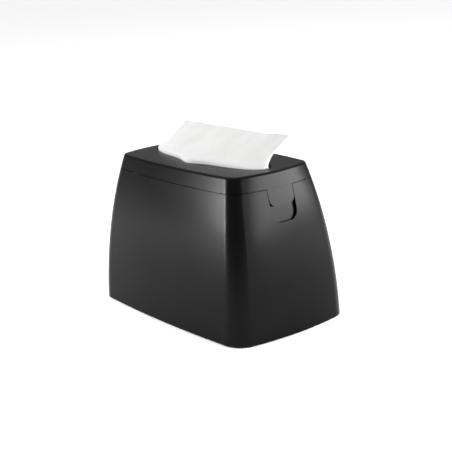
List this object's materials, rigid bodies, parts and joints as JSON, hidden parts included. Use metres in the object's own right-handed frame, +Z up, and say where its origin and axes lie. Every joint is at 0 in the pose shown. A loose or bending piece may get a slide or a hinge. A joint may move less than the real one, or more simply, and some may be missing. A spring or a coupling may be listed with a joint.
{
  "type": "napkin dispenser",
  "caption": "Black plastic countertop napkin dispenser with a hinged slotted lid, latch tab, sprung pusher platform and a stack of interfolded napkins.",
  "frame": {"origin": "on the table, under the centre of the hull", "axes": "+X along the hull to the latch end, +Y across it to the back, +Z up"},
  "size_m": [0.26, 0.158, 0.192],
  "materials": {
    "shell_plastic": "satin black moulded plastic",
    "inner_plastic": "matt charcoal moulded plastic",
    "screw_steel": "zinc-plated",
    "spring_steel": "drawn spring wire",
    "foot_rubber": "soft matt rubber",
    "pad_rubber": "foamed non-slip sheet",
    "napkin_paper": "soft embossed tissue"
  },
  "bodies": {
    "body": {"body_shell": "shell_plastic", "base_plate": "inner_plastic", "base_screws": "screw_steel", "well_screws": "screw_steel", "foot_front_left": "foot_rubber", "foot_front_right": "foot_rubber", "foot_rear_left": "foot_rubber", "foot_rear_right": "foot_rubber", "napkin_well": "inner_plastic", "pusher_spring_left": "spring_steel", "pusher_spring_right": "spring_steel", "hinge_pin_left": "screw_steel", "hinge_pin_right": "screw_steel", "lid_bumpers": "foot_rubber"},
    "platform": {"pusher_platform": "inner_plastic", "platform_pad": "pad_rubber", "napkin_stack": "napkin_paper"},
    "lid": {"lid": "shell_plastic"},
    "latch": {"latch_tab": "shell_plastic"},
    "napkin": {"top_napkin": "napkin_paper"}
  },
  "joints": [
    {"name": "lid_hinge", "type": "hinge", "parent": "body", "child": "lid", "pos_m": [-0.1116, 0, 0.1493], "axis": [0, -1, 0], "range_deg": [0, 105]},
    {"name": "latch_flex", "type": "hinge", "parent": "lid", "child": "latch", "pos_m": [0.1088, 0, 0.14945], "axis": [0, -1, 0], "range_deg": [0, 14], "stiffness_Nm_per_rad": 0.08, "springref_deg": -2.86},
    {"name": "platform_slide", "type": "slide", "parent": "body", "child": "platform", "axis": [0, 0, 1], "range_m": [-0.05, 0], "stiffness_N_per_m": 250, "springref_m": 0.1, "deforming": ["pusher_spring_left", "pusher_spring_right"]},
    {"name": "napkin_pull", "type": "slide", "parent": "lid", "child": "napkin", "axis": [0, 0, 1], "range_m": [0, 0.09]}
  ]
}
